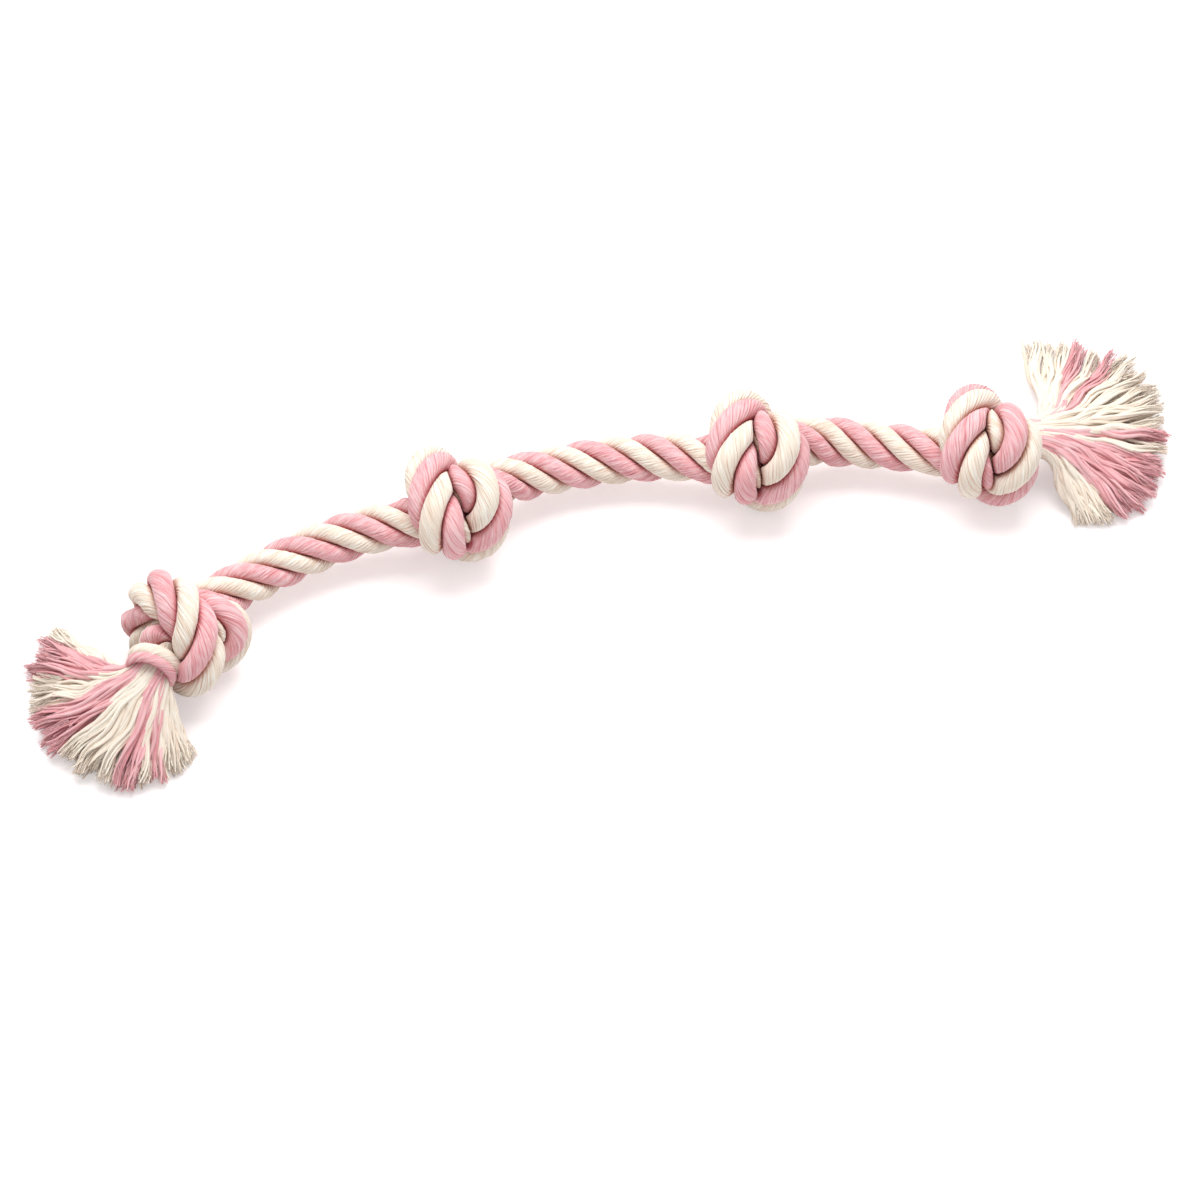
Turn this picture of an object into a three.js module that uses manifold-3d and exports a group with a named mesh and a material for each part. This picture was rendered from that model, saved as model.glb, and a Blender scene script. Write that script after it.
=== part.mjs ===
// A rope dog toy: one length of four-strand laid cotton rope, two strands pink and two cream,
// with four overhand knots drawn tight in it and both ends let out into tassels.
// It is in millimetres and lies on z = 0. +X runs from the left tassel to the right one, +Z is up.

import * as THREE from 'three'
import { mergeVertices } from 'three/addons/utils/BufferGeometryUtils.js'
import Module from 'manifold-3d'

const wasm = await Module()
wasm.setup()

// Rope
const ropeDiameter = 23
const layLength = 64
const ropeRadius = ropeDiameter / 2
const strandCount = 4
const flattenedShare = 1.15
const pieceGap = 0.3
const sectionPoints = 6

// Where passes of the rope press on each other: the gap left between them, how far along the
// rope a pass must be to count and how near it must come, as shares of the rope's diameter, and
// how much of a bend's radius the rope fills
const passGap = 0.9
const passApartShare = 0.66
const passNearShare = 1.3
const bendFillShare = 0.8

// Knots, left to right: the distances from middle to middle, how far left and back of zero the
// first one lies, and how far they are pressed flat underneath
const leftSpacing = 155.5
const middleSpacing = 153.5
const rightSpacing = 114.5
const firstKnotLeft = 217.3
const firstKnotBack = 11.7
const floorCut = 1.6

// Directions of the three stretches between the knots, in degrees from +X
const stretchHeadings = [12.2, -3.5, -13.9]

// Heading, pitch and roll of each knot, and a turn of the strands there, in degrees
const knotHeadings = [42, 8, -8, -10]
const knotPitches = [20, 0, 0, 0]
const knotRolls = [5, -46, -46, -46]
const strandTurns = [60, 75, 95, 105]

// The first knot's two leads bend toward the front, in degrees, and toward the floor, as a
// share of that bend. The bend starts and ends at these shares of the rope's diameter.
const leadTurns = [36, -32]
const leadDropShare = 0.45
const leadStartShare = 0.5
const leadEndShare = 1.1

// How far the passes of a knot press into each other along, across and up the knot, as shares
// of the rope's diameter, how far its wraps are pulled square to the rope and lifted past each
// other, and how far from the knot's middle that lifting reaches
const pressedShares = new THREE.Vector3(0.63, 0.83, 0.81)
const squaringShare = 0.47
const liftShare = 0.5
const liftReachShare = 0.95

// How much of a bend's longer outer side the lay follows, and how much the rope swells there
const knotLayShare = 0.1
const swellShare = 0.2

// How far from its middle a knot ends, as shares of the rope's diameter: where the stretches of
// rope begin, and where the tassels are let out
const knotReachShare = 1.3
const tasselNeckShare = 0.9

// Where the rope bends most easily, as shares of a stretch between two knots
const bendShares = [0.27, 0.73]

// Tassels: the let-out strands run straight for the neck, then fan out in locks of yarn that
// droop to the floor. A fan's heading and half angle are in degrees, and its reach shares tell
// how long its locks are from its right-hand edge to its left-hand edge, of the longest lock.
const tasselReach = 76
const leftNeckLength = 17
const leftReachShares = [0.92, 0.84, 0.74, 0.68, 0.5]
const leftFanHeading = 205
const leftFanAngle = 83
const rightNeckLength = 10
const rightReachShares = [0.5, 0.71, 0.82, 1, 0.95]
const rightFanHeading = 1
const rightFanAngle = 98
const neckShare = 0.78
const fanThickness = 13
const lockSides = 6

// A strand's four locks: their turns from the strand's middle, in degrees, and their places and
// radii as shares of the neck's radius
const lockTurns = [0, -28, 0, 28]
const lockPlaceShares = [0.36, 0.69, 0.69, 0.69]
const lockRadiusShares = [0.17, 0.155, 0.155, 0.155]

// The rings of a lock as shares of its reach, how narrow its tip is, how far its root lies in
// its strand's end, how far it runs on straight before it turns for its place in the fan, and
// how much of the neck the locks fill
const lockStepShares = [0, 0.2, 0.4, 0.6, 0.8, 0.93, 1]
const lockTipShare = 0.6
const lockRootShare = 0.015
const lockLeadShare = 0.18
const bundleShare = 0.9

// Where a neck starts to narrow, as a share of its length from its tip
const taperShare = 0.6

// Collar of yarn wound round the left tassel's neck
const collarWidth = 6.5
const collarThickness = 2.8
const collarPlaceShare = 0.18
const collarPoints = 8
const collarSides = 24

const pink = new THREE.MeshStandardMaterial({ color: 0xe9b4bd, roughness: 0.95, metalness: 0 })
const cream = new THREE.MeshStandardMaterial({ color: 0xefe2c8, roughness: 0.95, metalness: 0 })

const toy = new THREE.Group()
toy.name = 'rope_toy'

// Tighten a long overhand knot in a rope of unit diameter until its passes touch.
// It starts from the polynomial overhand knot and shortens like a pulled string, while passes
// nearer than one diameter push each other apart.
function tightKnot() {
  const points = 90
  const rounds = 2600
  const tension = 0.5
  const bendLength = 1.55
  const leadReach = 3.4
  const polynomialReach = 2.1
  const lift = -polynomialCurve(polynomialReach).y
  const start = [new THREE.Vector3(-leadReach, 0, 0)]
  for (let i = 0; i < points; i++) {
    const t = THREE.MathUtils.lerp(-polynomialReach, polynomialReach, i / (points - 1))
    start.push(polynomialCurve(t).add(new THREE.Vector3(0, lift, 0)))
  }
  start.push(new THREE.Vector3(leadReach, 0, 0))
  let line = start
  for (let round = 0; round < rounds; round++) {
    line = evenly(line, points)
    const apart = Math.round(bendLength / (pathLength(line) / (points - 1)))
    const pulled = line.map((p) => p.clone())
    for (let i = 1; i < points - 1; i++) {
      const middle = line[i - 1].clone().lerp(line[i + 1], 0.5)
      pulled[i].lerp(middle, tension)
    }
    line = pushApart(pulled, apart)
  }
  return evenly(line, points)
}

function polynomialCurve(t) {
  const spread = new THREE.Vector3(0.8, 0.6, 0.25)
  const curve = new THREE.Vector3(t ** 3 - 3 * t, t ** 4 - 4 * t ** 2, (t ** 5 - 10 * t) / 5)
  return curve.multiply(spread)
}

function pushApart(line, apart) {
  const last = line.length - 1
  const moves = line.map(() => new THREE.Vector3())
  const counts = line.map(() => 0)
  const across = new THREE.Vector3()
  for (let i = 0; i <= last; i++) {
    for (let j = i + apart; j <= last; j++) {
      across.subVectors(line[j], line[i])
      const distance = across.length()
      if (distance >= 1) continue
      across.multiplyScalar((1 - distance) / (2 * distance))
      moves[i].sub(across)
      moves[j].add(across)
      counts[i] += 1
      counts[j] += 1
    }
  }
  return line.map((p, i) => {
    if (i === 0 || i === last || counts[i] === 0) return p
    return p.add(moves[i].divideScalar(Math.sqrt(counts[i])))
  })
}

function pathLength(line) {
  let length = 0
  for (let i = 1; i < line.length; i++) length += line[i].distanceTo(line[i - 1])
  return length
}

// The same path with its points evenly spaced along it
function evenly(line, count) {
  const total = pathLength(line)
  const result = [line[0].clone()]
  let walked = 0
  let i = 1
  let piece = line[1].distanceTo(line[0])
  for (let k = 1; k < count - 1; k++) {
    const target = (total * k) / (count - 1)
    while (walked + piece < target && i < line.length - 1) {
      walked += piece
      i += 1
      piece = line[i].distanceTo(line[i - 1])
    }
    result.push(line[i - 1].clone().lerp(line[i], (target - walked) / piece))
  }
  result.push(line[line.length - 1].clone())
  return result
}

function smoothed(line, rounds) {
  let result = line
  for (let round = 0; round < rounds; round++) {
    result = result.map((p, i) => {
      if (i === 0 || i === result.length - 1) return p
      const middle = result[i - 1].clone().lerp(result[i + 1], 0.5)
      return p.clone().lerp(middle, 0.5)
    })
  }
  return result
}

// The knot's path at real size, in its own frame: pressed, with its wraps pulled square
function knotPath(tight) {
  const middle = tight[0].clone().lerp(tight[tight.length - 1], 0.5)
  return tight.map((p) => {
    const place = p.clone().sub(middle).multiply(pressedShares).multiplyScalar(ropeDiameter)
    const aside = place.x / (liftReachShare * ropeDiameter)
    place.z += liftShare * place.x * Math.exp(-aside * aside)
    place.x += squaringShare * place.z
    return place
  })
}

// Knot middles on the floor plan, walked from the first one along the three stretches
function knotMiddles() {
  const spacings = [leftSpacing, middleSpacing, rightSpacing]
  const middles = [new THREE.Vector3(-firstKnotLeft, firstKnotBack, 0)]
  spacings.forEach((spacing, i) => {
    const angle = THREE.MathUtils.degToRad(stretchHeadings[i])
    const step = new THREE.Vector3(Math.cos(angle), Math.sin(angle), 0)
    middles.push(middles[i].clone().addScaledVector(step, spacing))
  })
  return middles
}

// Each knot is rolled about its own rope, turned to its heading and set down on the floor
function placedKnots() {
  const path = knotPath(tightKnot())
  const reach = knotReachShare * ropeDiameter
  const leftEnd = tasselNeckShare * ropeDiameter + leftNeckLength
  const rightEnd = tasselNeckShare * ropeDiameter + rightNeckLength
  const leadStart = leadStartShare * ropeDiameter
  const leadEnd = leadEndShare * ropeDiameter
  return knotMiddles().map((middle, k) => {
    const isFirst = k === 0
    const isLast = k === knotHeadings.length - 1
    const turn = new THREE.Matrix4().makeRotationX(THREE.MathUtils.degToRad(knotRolls[k]))
    const tilt = new THREE.Matrix4().makeRotationY(THREE.MathUtils.degToRad(knotPitches[k]))
    const head = new THREE.Matrix4().makeRotationZ(THREE.MathUtils.degToRad(knotHeadings[k]))
    const inner = path.filter((p, i) => {
      const isLead = i < path.length / 4 || i > path.length * 3 / 4
      const leftReach = isFirst ? leftEnd : reach
      const rightReach = isLast ? rightEnd : reach
      return !isLead || (p.x > -leftReach && p.x < rightReach)
    })
    const placed = inner.map((p) => {
      const place = p.clone()
      if (isFirst) {
        const side = Math.sign(p.x)
        const share = THREE.MathUtils.smoothstep(Math.abs(p.x), leadStart, leadEnd)
        const angle = THREE.MathUtils.degToRad(leadTurns[side < 0 ? 0 : 1]) * share
        const pivot = new THREE.Vector3(side * leadStart, 0, 0)
        const axis = new THREE.Vector3(0, side * leadDropShare, 1).normalize()
        place.sub(pivot).applyAxisAngle(axis, angle).add(pivot)
      }
      return place.applyMatrix4(turn).applyMatrix4(tilt).applyMatrix4(head)
    })
    const lowest = Math.min(...placed.map((p) => p.z))
    const lift = ropeRadius - floorCut - lowest
    return placed.map((p) => p.add(middle).add(new THREE.Vector3(0, 0, lift)))
  })
}

// A smooth stretch of rope from the end of one knot to the start of the next
function stretchBetween(before, after) {
  const from = before[before.length - 1]
  const to = after[0]
  const span = from.distanceTo(to)
  const leave = from.clone().sub(before[before.length - 3]).setLength(span)
  const arrive = after[2].clone().sub(to).setLength(span)
  const steps = 24
  const points = []
  for (let i = 1; i < steps; i++) {
    const t = i / steps
    const point = from.clone().multiplyScalar(2 * t ** 3 - 3 * t ** 2 + 1)
    point.addScaledVector(leave, t ** 3 - 2 * t ** 2 + t)
    point.addScaledVector(to, -2 * t ** 3 + 3 * t ** 2)
    point.addScaledVector(arrive, t ** 3 - t ** 2)
    points.push(point)
  }
  return points
}

// The whole rope: its path, the frame carried along it, how much its strands have turned, and
// the arc lengths at which its knots start and end
function layRope() {
  const knots = placedKnots()
  const line = []
  const marks = []
  knots.forEach((knot, k) => {
    if (k > 0) line.push(...stretchBetween(knots[k - 1], knot))
    line.push(...knot)
    marks.push([knot[0], knot[knot.length - 1]])
  })
  const pointsPerRadius = 8
  const smoothingRounds = 8
  const count = Math.round((pathLength(line) * pointsPerRadius) / ropeRadius) + 1
  const path = smoothed(evenly(line, count), smoothingRounds)
  const step = pathLength(path) / (path.length - 1)
  const nearestArc = (mark) => {
    let best = 0
    path.forEach((p, i) => {
      if (p.distanceTo(mark) < path[best].distanceTo(mark)) best = i
    })
    return best * step
  }
  const arcs = marks.map(([start, end]) => [nearestArc(start), nearestArc(end)])
  return { path, step, arcs, ...carriedFrame(path, step, arcs) }
}

function carriedFrame(path, step, arcs) {
  const last = path.length - 1
  const along = path.map((p, i) => {
    return path[Math.min(i + 1, last)].clone().sub(path[Math.max(i - 1, 0)]).normalize()
  })
  const bends = along.map((t, i) => {
    const next = along[Math.min(i + 1, last)]
    return next.clone().sub(along[Math.max(i - 1, 0)]).divideScalar(2 * step)
  })
  const ups = []
  const turns = []
  let up = new THREE.Vector3(0, 0, 1)
  let turn = 0
  along.forEach((t, i) => {
    up = up.clone().addScaledVector(t, -up.dot(t)).normalize()
    ups.push(up)
    turns.push(turn + THREE.MathUtils.degToRad(knotTurnAt(i * step, arcs)))
    turn += (2 * Math.PI * step * (1 + knotLayShare * bends[i].length() * ropeRadius)) / layLength
  })
  const sides = along.map((t, i) => new THREE.Vector3().crossVectors(t, ups[i]))
  return { along, bends, ups, sides, turns }
}

// The strands' extra turn, eased over each stretch from one knot's to the next one's
function knotTurnAt(arc, arcs) {
  for (let k = 0; k < arcs.length - 1; k++) {
    const start = arcs[k][1]
    const end = arcs[k + 1][0]
    if (arc <= start) return strandTurns[k]
    if (arc < end) {
      const share = THREE.MathUtils.smoothstep(arc, start, end)
      return THREE.MathUtils.lerp(strandTurns[k], strandTurns[k + 1], share)
    }
  }
  return strandTurns[strandTurns.length - 1]
}

const rope = layRope()

// Everything about the rope at one arc length along it
function ropeAt(arc) {
  const last = rope.path.length - 1
  const place = THREE.MathUtils.clamp(arc / rope.step, 0, last)
  const i = Math.min(Math.floor(place), last - 1)
  const share = place - i
  const mix = (list) => list[i].clone().lerp(list[i + 1], share)
  return {
    centre: mix(rope.path),
    along: mix(rope.along).normalize(),
    bend: mix(rope.bends),
    up: mix(rope.ups).normalize(),
    side: mix(rope.sides).normalize(),
    turn: THREE.MathUtils.lerp(rope.turns[i], rope.turns[i + 1], share),
  }
}

// The other passes of the rope close enough to press on it here
function pressingPoints(arc, centre) {
  const apart = passApartShare * ropeDiameter
  const near = passNearShare * ropeDiameter
  return rope.path.filter((p, i) => {
    return Math.abs(i * rope.step - arc) > apart && p.distanceTo(centre) < near
  })
}

// How far the rope may reach from its middle in one direction before it meets another pass, or
// the middle of its own bend
function freeReach(station, direction, others) {
  let reach = Infinity
  for (const other of others) {
    const across = other.clone().sub(station.centre)
    const facing = direction.dot(across)
    if (facing <= 0) continue
    const distance = across.length()
    reach = Math.min(reach, (distance * distance - passGap * distance) / (2 * facing))
  }
  const inward = direction.dot(station.bend)
  if (inward > 0) reach = Math.min(reach, bendFillShare / inward)
  return reach
}

// A rounded lesser of two lengths, so that a pressed strand keeps a soft edge
function softLesser(length, limit) {
  const sharpness = 8
  if (!Number.isFinite(limit)) return length
  return (length ** -sharpness + limit ** -sharpness) ** (-1 / sharpness)
}

// One strand's section, as distances and angles about the middle of the rope
function strandSection(strand, points) {
  const tangentShare = Math.sin(Math.PI / strandCount)
  const circleRadius = (ropeRadius * tangentShare) / (1 + tangentShare)
  const middle = ropeRadius - circleRadius
  const radius = circleRadius - pieceGap / 2
  const start = (2 * Math.PI * strand) / strandCount
  const section = []
  for (let k = 0; k < points; k++) {
    const angle = (2 * Math.PI * k) / points
    const x = middle + radius * Math.cos(angle)
    const y = flattenedShare * radius * Math.sin(angle)
    const reach = Math.hypot(x, y)
    const side = Math.PI / strandCount - Math.asin(pieceGap / 2 / reach)
    section.push({ reach, angle: start + THREE.MathUtils.clamp(Math.atan2(y, x), -side, side) })
  }
  return section
}

function strandRing(arc, section, scale) {
  const station = ropeAt(arc)
  const others = pressingPoints(arc, station.centre)
  return section.map(({ reach, angle }) => {
    const turned = angle + station.turn
    const direction = station.up.clone().multiplyScalar(Math.cos(turned))
    direction.addScaledVector(station.side, Math.sin(turned))
    const bent = Math.min(1, station.bend.length() * ropeRadius * 2)
    const swell = (bent * swellShare * (scale - neckShare)) / (1 - neckShare)
    const full = reach * (scale + swell)
    const limited = softLesser(full, freeReach(station, direction, others))
    return station.centre.clone().addScaledVector(direction, limited)
  })
}

// Arc lengths of a piece's rings, each a fixed turn of the strands after the last
function ringArcs(start, end) {
  const ringTurn = THREE.MathUtils.degToRad(40)
  const from = ropeAt(start).turn
  const total = ropeAt(end).turn - from
  const rings = Math.max(2, Math.ceil(Math.abs(total) / ringTurn))
  const arcs = []
  let arc = start
  for (let k = 0; k <= rings; k++) {
    const target = from + (total * k) / rings
    while (arc < end && (ropeAt(arc).turn - target) * Math.sign(total) < 0) arc += rope.step / 8
    arcs.push(k === rings ? end : arc)
  }
  return arcs
}

// A knot's wraps are pressed flat where they lie on the floor
function cutAtFloor(geometry) {
  geometry.computeBoundingBox()
  if (geometry.boundingBox.min.z >= 0) return geometry
  const size = 4 * ropeDiameter
  const below = new THREE.BoxGeometry(size, size, size)
  const middle = geometry.boundingBox.getCenter(new THREE.Vector3())
  below.translate(middle.x, middle.y, -size / 2)
  return geometryOf(manifoldOf(geometry).subtract(manifoldOf(mergedClosed(below))))
}

// A closed solid through rings of points, with its quads split alike on both sides of a strand
function solidThrough(rings) {
  const size = rings[0].length
  const positions = rings.flat().flatMap((p) => [p.x, p.y, p.z])
  const indices = []
  for (let r = 0; r < rings.length - 1; r++) {
    for (let k = 0; k < size; k++) {
      const a = r * size + k
      const b = r * size + ((k + 1) % size)
      const c = a + size
      const d = b + size
      if (k < size / 2) indices.push(a, b, d, a, d, c)
      else indices.push(a, b, c, b, d, c)
    }
  }
  const last = (rings.length - 1) * size
  for (let k = 1; k < size - 1; k++) {
    indices.push(0, k + 1, k)
    indices.push(last, last + k, last + k + 1)
  }
  const geometry = new THREE.BufferGeometry()
  geometry.setAttribute('position', new THREE.Float32BufferAttribute(positions, 3))
  geometry.setIndex(indices)
  return geometry
}

function addPiece(name, geometry, material) {
  geometry.computeVertexNormals()
  const mesh = new THREE.Mesh(geometry, material)
  mesh.name = name
  toy.add(mesh)
}

function strandMaterial(strand) {
  return strand % 2 === 0 ? pink : cream
}

function strandName(strand) {
  return `${strand % 2 === 0 ? 'pink' : 'cream'}_strand_${strand < 2 ? 'a' : 'b'}`
}

function addStrands(group, start, end) {
  for (let strand = 0; strand < strandCount; strand++) {
    const section = strandSection(strand, sectionPoints)
    const rings = ringArcs(start, end).map((arc) => strandRing(arc, section, 1))
    const solid = cutAtFloor(solidThrough(rings))
    addPiece(`${group}_${strandName(strand)}`, solid, strandMaterial(strand))
  }
}

// The rope is one length, told apart here where it bends: at the necks of the tassels, and at
// two places in each stretch between knots
const ropeLength = rope.step * (rope.path.length - 1)
const cuts = [leftNeckLength]
for (let k = 0; k < rope.arcs.length - 1; k++) {
  const start = rope.arcs[k][1]
  const end = rope.arcs[k + 1][0]
  for (const share of bendShares) cuts.push(THREE.MathUtils.lerp(start, end, share))
}
cuts.push(ropeLength - rightNeckLength)

const groupNames = ['knot_1', 'run_1', 'knot_2', 'run_2', 'knot_3', 'run_3', 'knot_4']
groupNames.forEach((name, i) => {
  addStrands(name, cuts[i] + pieceGap / 2, cuts[i + 1] - pieceGap / 2)
})

// One tassel: each strand's end is a stub with its locks of yarn joined to it
function addTassel(side) {
  const isLeft = side === 'left'
  const neckLength = isLeft ? leftNeckLength : rightNeckLength
  const tipArc = isLeft ? 0 : ropeLength
  const knotArc = isLeft ? cuts[0] - pieceGap / 2 : cuts[cuts.length - 1] + pieceGap / 2
  const taper = (arc) => {
    const share = Math.abs(arc - tipArc) / neckLength
    return THREE.MathUtils.lerp(neckShare, 1, THREE.MathUtils.smoothstep(share, taperShare, 1))
  }
  const fan = fanOf(isLeft, tipArc)
  for (let strand = 0; strand < strandCount; strand++) {
    const section = strandSection(strand, sectionPoints)
    const arcs = ringArcs(Math.min(tipArc, knotArc), Math.max(tipArc, knotArc))
    const stub = solidThrough(arcs.map((arc) => strandRing(arc, section, taper(arc))))
    const locks = lockTurns.map((turn, k) => {
      return manifoldOf(lockSolid(fan, strand, turn, lockPlaceShares[k], lockRadiusShares[k]))
    })
    const joined = locks.reduce((solid, lock) => solid.add(lock), manifoldOf(stub))
    addPiece(`${side}_tassel_${strandName(strand)}`, geometryOf(joined), strandMaterial(strand))
  }
}

// A fan: where it leaves the neck, the neck's own left and top seen from the knot, and a place
// in the fan for each place across the neck. Left and top are in shares of the neck's radius.
function fanOf(isLeft, tipArc) {
  const tip = ropeAt(tipArc)
  const out = tip.along.clone().multiplyScalar(isLeft ? -1 : 1)
  const left = new THREE.Vector3(0, 0, 1).cross(out).normalize()
  const top = out.clone().cross(left)
  const heading = THREE.MathUtils.degToRad(isLeft ? leftFanHeading : rightFanHeading)
  const angle = THREE.MathUtils.degToRad(isLeft ? leftFanAngle : rightFanAngle)
  const shares = isLeft ? leftReachShares : rightReachShares
  const neckRadius = neckShare * ropeRadius
  const placeAt = (u, v, t) => {
    const start = tip.centre.clone().addScaledVector(left, u * neckRadius)
    start.addScaledVector(top, v * neckRadius)
    const share = (2 / Math.PI) * Math.asin(THREE.MathUtils.clamp(u / bundleShare, -1, 1))
    const reach = tasselReach * shareAt(shares, (1 + share) / 2)
    if (t < 0) return start.addScaledVector(out, t * reach)
    const turned = heading + angle * share
    const chord = Math.sqrt(Math.max(0, bundleShare ** 2 - u ** 2))
    const end = new THREE.Vector3(Math.cos(turned), Math.sin(turned), 0).multiplyScalar(reach)
    end.add(tip.centre).setZ((fanThickness * (v + chord)) / (2 * bundleShare))
    const lead = start.clone().addScaledVector(out, lockLeadShare * reach)
    lead.lerp(start.clone().lerp(end, 0.5), 0.5)
    return new THREE.QuadraticBezierCurve3(start, lead, end).getPoint(t)
  }
  return { tip, left, top, placeAt }
}

function shareAt(shares, place) {
  const spot = THREE.MathUtils.clamp(place, 0, 1) * (shares.length - 1)
  const i = Math.min(Math.floor(spot), shares.length - 2)
  return THREE.MathUtils.lerp(shares[i], shares[i + 1], spot - i)
}

// One lock of yarn, from inside its strand's stub down to the floor
function lockSolid(fan, strand, turn, placeShare, radiusShare) {
  const angle = (2 * Math.PI * strand) / strandCount + fan.tip.turn + THREE.MathUtils.degToRad(turn)
  const toward = fan.tip.up.clone().multiplyScalar(Math.cos(angle))
  toward.addScaledVector(fan.tip.side, Math.sin(angle))
  const middleU = placeShare * toward.dot(fan.left)
  const middleV = placeShare * toward.dot(fan.top)
  const ringAt = (t) => {
    const radius = radiusShare * (t === 1 ? lockTipShare : 1)
    const ring = []
    for (let k = 0; k < lockSides; k++) {
      const around = (2 * Math.PI * k) / lockSides
      const u = middleU + radius * Math.cos(around)
      const v = middleV + radius * Math.sin(around)
      ring.push(fan.placeAt(u, v, t))
    }
    return ring
  }
  const rings = [ringAt(-lockRootShare)]
  for (const t of lockStepShares) rings.push(ringAt(t))
  return solidThrough(rings)
}

// The collar is a ring with a rounded section, square to the neck
function addCollar() {
  const arc = leftNeckLength * collarPlaceShare
  const station = ropeAt(arc)
  const inner = neckShare * ropeRadius + pieceGap
  const profile = []
  for (let k = 0; k <= collarPoints; k++) {
    const angle = (2 * Math.PI * k) / collarPoints
    const x = inner + (collarThickness / 2) * (1 + Math.cos(angle))
    profile.push(new THREE.Vector2(x, (collarWidth / 2) * Math.sin(angle)))
  }
  const ring = mergedClosed(new THREE.LatheGeometry(profile, collarSides))
  const turn = new THREE.Quaternion()
  turn.setFromUnitVectors(new THREE.Vector3(0, 1, 0), station.along)
  ring.applyQuaternion(turn)
  ring.translate(station.centre.x, station.centre.y, station.centre.z)
  addPiece('left_tassel_collar', ring, cream)
}

function mergedClosed(geometry) {
  geometry.deleteAttribute('normal')
  geometry.deleteAttribute('uv')
  return mergeVertices(geometry)
}

function manifoldOf(geometry) {
  const vertProperties = new Float32Array(geometry.attributes.position.array)
  const triVerts = new Uint32Array(geometry.index.array)
  return new wasm.Manifold(new wasm.Mesh({ numProp: 3, vertProperties, triVerts }))
}

function geometryOf(solid) {
  const { vertProperties, triVerts } = solid.getMesh()
  const geometry = new THREE.BufferGeometry()
  geometry.setAttribute('position', new THREE.Float32BufferAttribute(vertProperties, 3))
  geometry.setIndex([...triVerts])
  return geometry
}

addTassel('left')
addTassel('right')
addCollar()

export default toy
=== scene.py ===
# Rope dog toy: its strands, yarns, tassels and their finish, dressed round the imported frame.
# Lengths are in metres, and places are in the frame of the toy as it lies on the floor.

import math
from functools import partial

import bpy
import numpy as np
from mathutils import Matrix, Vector


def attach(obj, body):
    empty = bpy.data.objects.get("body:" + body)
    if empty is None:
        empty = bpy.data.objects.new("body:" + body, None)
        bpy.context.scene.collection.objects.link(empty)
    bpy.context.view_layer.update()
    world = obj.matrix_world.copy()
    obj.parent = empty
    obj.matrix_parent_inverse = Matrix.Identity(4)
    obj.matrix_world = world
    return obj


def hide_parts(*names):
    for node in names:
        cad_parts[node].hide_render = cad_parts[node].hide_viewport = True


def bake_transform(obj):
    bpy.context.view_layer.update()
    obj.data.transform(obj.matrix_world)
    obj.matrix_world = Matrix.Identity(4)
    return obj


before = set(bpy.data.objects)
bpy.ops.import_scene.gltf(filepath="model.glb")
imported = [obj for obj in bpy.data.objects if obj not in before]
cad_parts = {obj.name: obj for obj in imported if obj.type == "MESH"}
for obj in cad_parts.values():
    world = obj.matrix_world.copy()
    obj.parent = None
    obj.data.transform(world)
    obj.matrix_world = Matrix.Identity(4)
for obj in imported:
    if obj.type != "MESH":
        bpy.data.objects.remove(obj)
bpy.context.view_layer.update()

bl_info = {
    "name": "Rope dog toy",
    "version": (1, 0, 0),
    "blender": (4, 5, 0),
    "location": "View3D > Sidebar > Rope toy",
    "description": "Builds a knotted cotton rope toy with let-out tassels",
    "category": "Object",
}

MM = 0.001

# Rope, as the frame's solids have it
ROPE_DIAMETER = 23 * MM
LAY_LENGTH = 64 * MM
ROPE_RADIUS = ROPE_DIAMETER / 2
STRAND_COUNT = 4
FLATTENED_SHARE = 1.15
PASS_APART_SHARE = 0.66
PASS_NEAR_SHARE = 1.3
SPACINGS = [155.5 * MM, 153.5 * MM, 114.5 * MM]
FIRST_KNOT = np.array([-217.3 * MM, 11.7 * MM, 0.0])
FLOOR_CUT = 1.6 * MM
STRETCH_HEADINGS = [12.2, -3.5, -13.9]
KNOT_HEADINGS = [42, 8, -8, -10]
KNOT_PITCHES = [20, 0, 0, 0]
KNOT_ROLLS = [5, -46, -46, -46]
STRAND_TURNS = [60, 75, 95, 105]
LEAD_TURNS = [36, -32]
LEAD_DROP_SHARE = 0.45
LEAD_START_SHARE = 0.5
LEAD_END_SHARE = 1.1
PRESSED_SHARES = np.array([0.63, 0.83, 0.81])
SQUARING_SHARE = 0.47
LIFT_SHARE = 0.5
LIFT_REACH_SHARE = 0.95
KNOT_LAY_SHARE = 0.1
SWELL_SHARE = 0.2
KNOT_REACH_SHARE = 1.3
TASSEL_NECK_SHARE = 0.9
BEND_SHARES = [0.27, 0.73]
LEFT_NECK_LENGTH = 17 * MM
RIGHT_NECK_LENGTH = 10 * MM
NECK_SHARE = 0.78
TAPER_SHARE = 0.6

# How far to each side of its hinge each stretch of rope bends: the short right-hand ones less.
# Then points on a stretch's route.
BEND_REACHES = [12 * MM] * 4 + [9 * MM] * 2
ROUTE_POINTS = 40

# How closely the real strands and passes lie, which the dressed rope shows
STRAND_GAP = 0.04 * MM
HEART_RADIUS = 0.4 * MM
PASS_GAP = 0.25 * MM
BEND_FILL_SHARE = 0.92
FLOOR_GAP = 0.05 * MM

# The reach of a strand that nothing limits, and the least that is divided by
FREE_REACH = 1.0
NEARLY_ZERO = 1e-6

# Columns of points over a yarn, and how uneven yarns are in depth and height along a strand
YARN_COLUMNS = 5
YARN_DEPTH_CHANGE = 0.8
YARN_HEIGHT_CHANGE = 0.6
YARN_WAVES = 3
YARN_WAVE_LENGTHS = (9 * MM, 40 * MM)
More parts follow.
